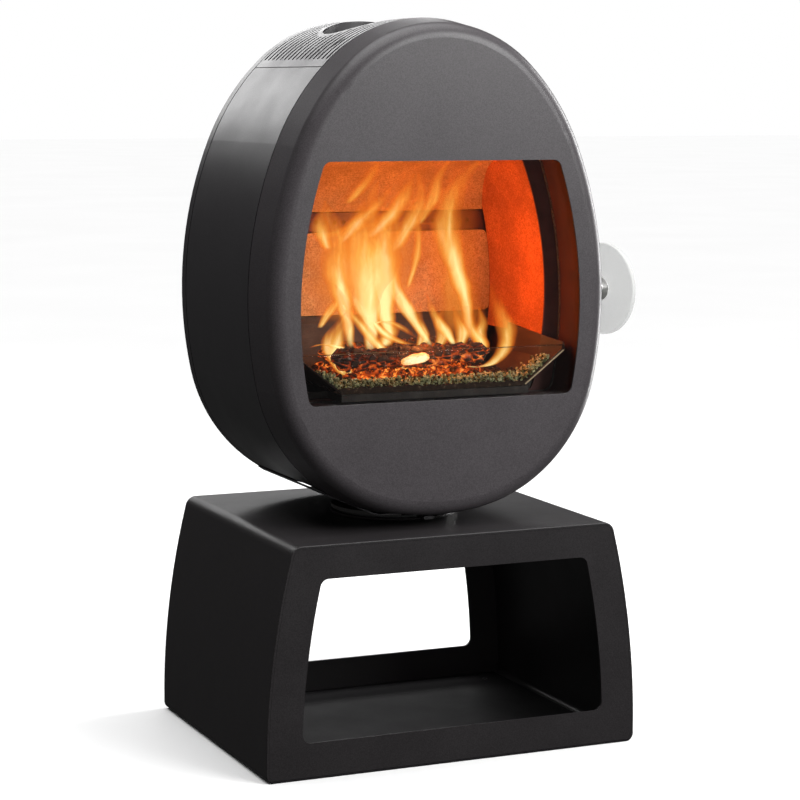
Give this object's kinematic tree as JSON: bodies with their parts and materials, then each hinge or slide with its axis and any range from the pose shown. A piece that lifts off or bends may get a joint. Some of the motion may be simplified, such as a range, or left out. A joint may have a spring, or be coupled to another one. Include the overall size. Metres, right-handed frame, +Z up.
{
  "type": "wood burning stove",
  "caption": "Egg-shaped steel wood burning stove with a bowed glass window, vented top grille and glass disc handle, turning on a hollow pedestal for storing logs.",
  "frame": {"origin": "on the floor under the middle of the pedestal, on the axis that the body turns about", "axes": "+Z up, the glazed front faces -Y, +X to the right of someone who faces the stove"},
  "size_m": [0.6272, 0.458, 1.0775],
  "materials": {
    "body_paint": "fine-textured matt charcoal stove paint",
    "door_paint": "fine-textured matt charcoal stove paint",
    "pedestal_paint": "fine-textured matt black stove paint",
    "zinc_screws": "zinc-plated",
    "glide_plastic": "low-friction glide ring",
    "bush_brass": "turned",
    "bare_steel": "blued mild steel",
    "galvanised_sheet": "hot-dip coated sheet",
    "firebox_steel": "heat-stained dark steel",
    "flue_steel": "matt black",
    "vermiculite": "pressed vermiculite board, granular",
    "cast_iron": "sand-cast, sooty",
    "hearth_sheet": "heat-stained steel sheet",
    "clear_glass": "clear ceramic glass",
    "window_glass": "clear ceramic glass",
    "ash_and_embers": "granular ash with glowing embers",
    "charred_wood": "charred and cracked",
    "brushed_steel": "satin",
    "spring_steel": "tempered",
    "rope_seal": "braided glass-fibre rope",
    "frosted_glass": "white frosted, satin"
  },
  "bodies": {
    "pedestal": {"pedestal_shell": "pedestal_paint", "pedestal_base_plate": "pedestal_paint", "pedestal_front_frame": "pedestal_paint", "pedestal_back_frame": "pedestal_paint", "frame_brackets": "pedestal_paint", "pedestal_screws": "zinc_screws", "levelling_screws": "zinc_screws", "turntable_base": "pedestal_paint", "turntable_glide_ring": "glide_plastic", "pivot_bush": "bush_brass"},
    "stove_body": {"turntable_plate": "bare_steel", "pivot_retaining_ring": "bare_steel", "left_casing": "body_paint", "right_casing": "body_paint", "top_grille": "body_paint", "bottom_cover": "body_paint", "rear_rim": "body_paint", "rear_panel": "body_paint", "rear_flue_cover": "body_paint", "rear_screws": "zinc_screws", "rear_heat_shield": "galvanised_sheet", "fresh_air_spigot": "galvanised_sheet", "casing_carrier": "bare_steel", "firebox": "firebox_steel", "flue_collar": "flue_steel", "grille_shroud": "flue_steel", "left_liner": "vermiculite", "right_liner": "vermiculite", "lower_back_liner": "vermiculite", "upper_back_liner": "vermiculite", "air_rail": "firebox_steel", "smoke_baffle": "firebox_steel", "hearth_plate": "cast_iron", "grate": "cast_iron", "hearth_supports": "firebox_steel", "ash_pan": "galvanised_sheet", "rear_hearth_block": "cast_iron", "left_hearth_wing": "hearth_sheet", "right_hearth_wing": "hearth_sheet", "log_guard_glass": "clear_glass", "ember_bed": "ash_and_embers", "front_log": "charred_wood", "rear_log": "charred_wood", "air_box": "galvanised_sheet", "hinge_bracket": "bare_steel", "hinge_pins": "zinc_screws", "catch_spring": "spring_steel"},
    "door": {"door_shell": "door_paint", "glass_seal": "rope_seal", "door_glass": "window_glass", "door_inner_frame": "firebox_steel", "door_seal": "rope_seal", "glass_clips": "zinc_screws", "door_hinge_leaves": "bare_steel", "catch_tongue": "spring_steel", "handle_bracket": "bare_steel", "handle_stem": "brushed_steel", "handle_disc": "frosted_glass"},
    "air_control": {"air_slide": "bare_steel", "air_knob": "body_paint"}
  },
  "joints": [
    {"name": "body_turn", "type": "hinge", "parent": "pedestal", "child": "stove_body", "pos_m": [0, 0, 0.338], "axis": [0, 0, 1], "range_deg": [-45, 45]},
    {"name": "door_swing", "type": "hinge", "parent": "stove_body", "child": "door", "pos_m": [-0.255, -0.122, 0.6625], "axis": [0, 0, -1], "range_deg": [0, 95]},
    {"name": "air_control_slide", "type": "slide", "parent": "stove_body", "child": "air_control", "axis": [1, 0, 0], "range_m": [-0.012, 0.012]}
  ]
}
